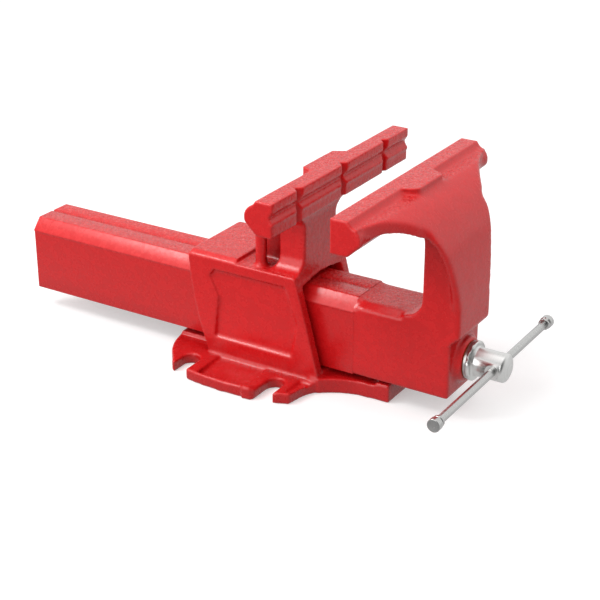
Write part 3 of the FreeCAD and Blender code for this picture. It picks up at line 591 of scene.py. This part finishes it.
class VISE_OT_jaw_casting(bpy.types.Operator):
    """Dress the sliding jaw: cast column and jaw, and the planed beam behind them"""
    bl_idname = "vise.jaw_casting"
    bl_label = "Sliding jaw casting"

    def execute(self, context):
        self.column()
        self.beam()
        return {"FINISHED"}

    def column(self):
        """The cast column and jaw, whose skin sinks under the planed beam where the two meet."""
        overlap, start, run = 6 * MM, 1.5 * MM, 2 * MM
        sink = 0.8
        bm = merged_copy("sliding_jaw")
        cut(bm, PLANED_END_X - overlap, keep_front=True)
        piece = new_piece("sliding_jaw_casting", bm, ("sliding_jaw",), "slider", "red_enamel")
        bm = cast_skin(piece, jaw_passes)
        bm.normal_update()
        for v in bm.verts:
            behind = (PLANED_END_X - start - v.co.x) / run
            v.co -= v.normal * sink * MM * min(1.0, max(0.0, behind))
        thinned(piece, bm)

    def beam(self):
        """The planed beam, its edges broken, with a shallow groove along the middle of its top."""
        casting = bpy.context.scene.vise_casting
        bm = merged_copy("sliding_jaw")
        cut(bm, PLANED_END_X, keep_front=False)
        rim = [e for e in bm.edges if all(abs(v.co.x - PLANED_END_X) < TINY for v in e.verts)]
        round_edges(bm, casting.beam_bevel, keep=rim)
        half_groove = 1.8 * MM
        for y in (-half_groove, 0, half_groove):
            bmesh.ops.bisect_plane(bm, geom=[*bm.verts, *bm.edges, *bm.faces],
                                   plane_co=(0, y, 0), plane_no=(0, 1, 0))
        top = max(v.co.z for v in bm.verts)
        bottom = [v for v in bm.verts if abs(v.co.y) < TINY and v.co.z > top - MM]
        bmesh.ops.translate(bm, verts=bottom, vec=(0, 0, -casting.beam_groove))
        new_piece("planed_beam", bm, ("sliding_jaw",), "slider", "red_enamel",
                  finish="Planed enamel")


# ------------------------------------------------------------------ screw line and bar

class VISE_OT_spindle(bpy.types.Operator):
    """Model the spindle: hub, flange and journal, and the trapezoidal thread behind them"""
    bl_idname = "vise.spindle"
    bl_label = "Spindle"

    def execute(self, context):
        head = merged_copy("spindle")
        cut(head, THREAD_END_X, keep_front=True)
        near_bore = 6 * MM
        bore = [e for e in head.edges
                if all(abs(v.co.x - BAR_CENTRE.x) < near_bore for v in e.verts)]
        round_edges(head, 0.35 * MM, segments=2, keep=bore)
        new_piece("spindle_screw", joined(head, self.thread()), ("spindle",), "screw",
                  "bright_zinc")
        return {"FINISHED"}

    def thread(self):
        """The thread's profile, swept along a helix of the screw's lead over a plain core."""
        screw = bpy.context.scene.vise_screw
        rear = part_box("spindle")[0].x
        crest = 9.9 * MM
        root = crest - screw.thread_depth
        flank = screw.thread_depth * math.tan(math.radians(15))
        flat = screw.lead / 2 - flank
        profile = [(0, root), (flat, root), (flat + flank, crest), (screw.lead - flank, crest),
                   (screw.lead, root)]
        start = rear + 3 * MM
        turns = int((THREAD_END_X - start) / screw.lead) - 1
        steps = 28
        bm = bmesh.new()
        chain = [bm.verts.new((start + x, 0, SCREW_Z + r)) for x, r in profile]
        edges = [bm.edges.new(pair) for pair in zip(chain, chain[1:])]
        bm.faces.new(chain)
        bmesh.ops.spin(bm, geom=chain + edges, cent=(0, 0, SCREW_Z), axis=X_AXIS,
                       dvec=X_AXIS * (screw.lead / steps), angle=math.tau * turns,
                       steps=steps * turns, use_merge=False, use_duplicate=False)
        bmesh.ops.remove_doubles(bm, verts=bm.verts, dist=TINY)
        bmesh.ops.recalc_face_normals(bm, faces=bm.faces)
        end = start + (turns + 1) * screw.lead
        core_radius = root - 0.02 * MM
        chamfer = 1.4 * MM
        core = spun([(rear, 0), (rear, root - chamfer), (rear + chamfer, core_radius),
                     (end - 2 * MM, core_radius), (THREAD_END_X + 0.5 * MM, 8.5 * MM),
                     (THREAD_END_X + MM, 0)],
                    X_AXIS, Vector((0, 0, SCREW_Z)), steps=48)
        return joined(bm, core)


class VISE_OT_bar(bpy.types.Operator):
    """Model the sliding bar and the stepped knobs pressed on its ends"""
    bl_idname = "vise.bar"
    bl_label = "Bar and knobs"

    def execute(self, context):
        near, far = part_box("tommy_bar")
        radius = (far.x - near.x) / 2
        rod = spun([(near.y, 0), (near.y, radius), (far.y, radius), (far.y, 0)], Y_AXIS, BAR_CENTRE,
                   steps=48, bevel=0.4 * MM, segments=2)
        new_piece("sliding_bar", rod, ("tommy_bar",), "bar", "bright_zinc",
                  finish="Bright zinc bar")
        self.knob("bar_knob_near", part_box("bar_knob_near")[0].y, 1)
        self.knob("bar_knob_far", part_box("bar_knob_far")[1].y, -1)
        return {"FINISHED"}

    def knob(self, node, tip, inward):
        """A button with a groove and a collar, from its tip inwards."""
        outline = [(0, 0), (0, 5), (5.4, 5), (5.8, 3.9),
                   (6.6, 3.9), (7, 4.5), (8.9, 4.5), (8.9, 3.2)]
        points = [(tip + inward * along * MM, radius * MM) for along, radius in outline]
        bm = spun(points, Y_AXIS, BAR_CENTRE, steps=48, bevel=0.45 * MM, segments=3)
        new_piece(node + "_turned", bm, (node,), "bar", "bright_zinc",
                  finish="Bright zinc bar")


class VISE_OT_nut_screws(bpy.types.Operator):
    """Model the nut's two socket head screws"""
    bl_idname = "vise.nut_screws"
    bl_label = "Nut screws"

    def execute(self, context):
        low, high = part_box("nut_screws")
        head_radius = (high.y - low.y) / 2
        screws = []
        for x in (low.x + head_radius, high.x - head_radius):
            screws.append(self.screw(Vector((x, 0, low.z)), head_radius, high.z - low.z))
        new_piece("socket_screws", joined(*screws), ("nut_screws",), "fixed", "tool_steel",
                  finish="Dark screws")
        return {"FINISHED"}

    def screw(self, foot, head_radius, length):
        """Head down: the shank, the head, and a hexagonal socket sunk into the head."""
        socket = bpy.context.scene.vise_screw.socket
        head = 8 * MM
        shank_radius = 5 * MM
        socket_depth = 5 * MM
        bm = spun([(0, socket * 0.62), (0, head_radius), (head, head_radius),
                   (head, shank_radius), (length, shank_radius), (length, 0)],
                  Z_AXIS, foot, steps=48, bevel=0.5 * MM, segments=2)
        rim = [e for e in bm.edges if e.is_boundary]
        hexagon = bmesh.ops.create_circle(bm, cap_ends=False, segments=6,
                                          radius=socket / math.sqrt(3),
                                          matrix=Matrix.Translation(foot))
        mouth = list({e for v in hexagon["verts"] for e in v.link_edges})
        bmesh.ops.bridge_loops(bm, edges=rim + mouth)
        walls = bmesh.ops.extrude_edge_only(bm, edges=mouth)
        deep = [item for item in walls["geom"] if isinstance(item, bmesh.types.BMVert)]
        bmesh.ops.translate(bm, verts=deep, vec=(0, 0, socket_depth))
        floor = [item for item in walls["geom"] if isinstance(item, bmesh.types.BMEdge)]
        bmesh.ops.edgeloop_fill(bm, edges=[e for e in floor if all(v in deep for v in e.verts)])
        bmesh.ops.recalc_face_normals(bm, faces=bm.faces)
        return bm


class VISE_OT_finishes(bpy.types.Operator):
    """Give every frame node the finish of its slot"""
    bl_idname = "vise.finishes"
    bl_label = "Finishes"

    def execute(self, context):
        for part in frame["record"]["subparts"]:
            slot = part["material_slot"]
            dark = part["node"].startswith("nut_") and slot == "tool_steel"
            node = NODES[part["node"]]
            node.data.materials.clear()
            node.data.materials.append(material("Dark screws" if dark else SLOTS[slot]))
        return {"FINISHED"}


class VISE_OT_studio(bpy.types.Operator):
    """Set up the pale floor, the soft lamps and the camera"""
    bl_idname = "vise.studio"
    bl_label = "Studio"

    def execute(self, context):
        scene = context.scene
        studio = scene.vise_studio
        self.floor(scene, studio.floor_glow)
        self.sky(scene, studio.sky)
        self.lamp(scene, "Overhead", (0.0, -0.15, 1.5), 1.6, studio.overhead)
        self.lamp(scene, "Front", (-0.35, -1.5, 0.65), 1.5, studio.front)
        self.lamp(scene, "Key", (-0.70, -0.58, 1.10), 0.45, studio.key)
        self.camera(scene, studio)
        scene.view_settings.view_transform = "Standard"
        return {"FINISHED"}

    def floor(self, scene, glow_share):
        """A floor that the camera sees white, with the vise's shadow, and the vise sees dim."""
        white, dim = 1.10 - glow_share, 0.22
        half_size, drop = 6, 0.05 * MM
        bm = bmesh.new()
        bmesh.ops.create_grid(bm, x_segments=1, y_segments=1, size=half_size)
        bmesh.ops.translate(bm, verts=bm.verts, vec=(0, 0, -drop))
        mesh = bpy.data.meshes.new("floor")
        bm.to_mesh(mesh)
        bm.free()
        floor = bpy.data.objects.new("floor", mesh)
        scene.collection.objects.link(floor)
        made, tree, surface = new_material("Pale floor", Roughness=0.9, Specular_IOR_Level=0.1)
        rays = add(tree, "LightPath")
        seen = add(tree, "Mix", {FLOAT_A: dim, FLOAT_B: white}, data_type="FLOAT")
        link(tree, rays, "Is Camera Ray", seen, "Factor")
        link(tree, seen, 0, surface, "Base Color")
        glow = add(tree, "Emission", {"Color": (1, 1, 1, 1)})
        shown = maths(tree, "MULTIPLY", (rays, "Is Camera Ray"), glow_share)
        reflected = maths(tree, "MULTIPLY", (self.mirrored(tree), 0), (self.floor_ahead(tree), 0))
        strength = maths(tree, "MAXIMUM", (shown, 0), (reflected, 0))
        link(tree, strength, 0, glow, "Strength")
        both = add(tree, "AddShader")
        link(tree, surface, 0, both, 0)
        link(tree, glow, 0, both, 1)
        tree.links.new(both.outputs[0], tree.nodes["Material Output"].inputs["Surface"])
        mesh.materials.append(made)

    def mirrored(self, tree):
        """1 where a reflection or glass looks."""
        rays = add(tree, "LightPath")
        return maths(tree, "MAXIMUM", (rays, "Is Glossy Ray"), (rays, "Is Transmission Ray"))

    def floor_ahead(self, tree):
        """Strength of the floor in reflections: pale under the vise, and dim out in front of it."""
        place = add(tree, "TexCoord")
        parts = add(tree, "SeparateXYZ")
        link(tree, place, "Object", parts, 0)
        return spread(tree, parts, "Y", -0.20, -0.05, 0.06, 0.50)

    def sky(self, scene, strength):
        """Even light from all round; reflections see a white room, dim on the front right."""
        world = bpy.data.worlds.new("Studio sky")
        world.use_nodes = True
        scene.world = world
        tree = world.node_tree
        background = tree.nodes["Background"]
        background.inputs["Color"].default_value = (1, 1, 1, 1)
        direction = add(tree, "TexCoord")
        dim_side = Vector((0.62, -0.68, 0.38)).normalized()
        facing = add(tree, "VectorMath", operation="DOT_PRODUCT")
        facing.inputs[1].default_value = dim_side
        link(tree, direction, "Generated", facing, 0)
        room = spread(tree, facing, "Value", 0.25, 0.95, 1.0, 0.12)
        level = add(tree, "Mix", data_type="FLOAT")
        link(tree, self.mirrored(tree), 0, level, "Factor")
        level.inputs[FLOAT_A].default_value = strength
        link(tree, room, 0, level, FLOAT_B)
        rays = add(tree, "LightPath")
        shown = maths(tree, "MAXIMUM", (level, 0), (rays, "Is Camera Ray"))
        link(tree, shown, 0, background, "Strength")

    def lamp(self, scene, name, place, size, power):
        """A round soft lamp, turned towards the vise."""
        vise_middle = Vector((0.03, 0, 0.06))
        data = bpy.data.lights.new(name, "AREA")
        data.shape = "DISK"
        data.size = size
        data.energy = power
        lamp = bpy.data.objects.new(name, data)
        lamp.location = place
        aim = vise_middle - Vector(place)
        lamp.rotation_euler = aim.to_track_quat("-Z", "Y").to_euler()
        scene.collection.objects.link(lamp)

    def camera(self, scene, studio):
        data = bpy.data.cameras.new("Camera")
        data.lens = studio.focal_length
        data.sensor_width = 36
        camera = bpy.data.objects.new("Camera", data)
        camera.location = studio.eye
        aim = Vector(studio.look_at) - Vector(studio.eye)
        camera.rotation_euler = aim.to_track_quat("-Z", "Y").to_euler()
        scene.collection.objects.link(camera)
        scene.camera = camera


class VISE_PT_panel(bpy.types.Panel):
    """The vise's steps and settings"""
    bl_label = "Bench vise"
    bl_idname = "VISE_PT_panel"
    bl_space_type = "VIEW_3D"
    bl_region_type = "UI"
    bl_category = "Vise"

    def draw(self, context):
        for step in STEPS:
            self.layout.operator(step.bl_idname)
        for label, kind in SETTINGS.items():
            box = self.layout.box()
            for key in kind.__annotations__:
                box.prop(getattr(context.scene, label), key)


STEPS = (VISE_OT_finishes, VISE_OT_body_casting, VISE_OT_jaw_casting, VISE_OT_spindle, VISE_OT_bar,
         VISE_OT_nut_screws, VISE_OT_studio)


def register():
    for kind in (*SETTINGS.values(), *STEPS, VISE_PT_panel):
        bpy.utils.register_class(kind)
    for label, kind in SETTINGS.items():
        setattr(bpy.types.Scene, label, PointerProperty(type=kind))


def unregister():
    for label in SETTINGS:
        delattr(bpy.types.Scene, label)
    for kind in reversed((*SETTINGS.values(), *STEPS, VISE_PT_panel)):
        bpy.utils.unregister_class(kind)


def main():
    register()
    for step in STEPS:
        group, name = step.bl_idname.split(".")
        getattr(getattr(bpy.ops, group), name)()


if __name__ == "__main__":
    main()
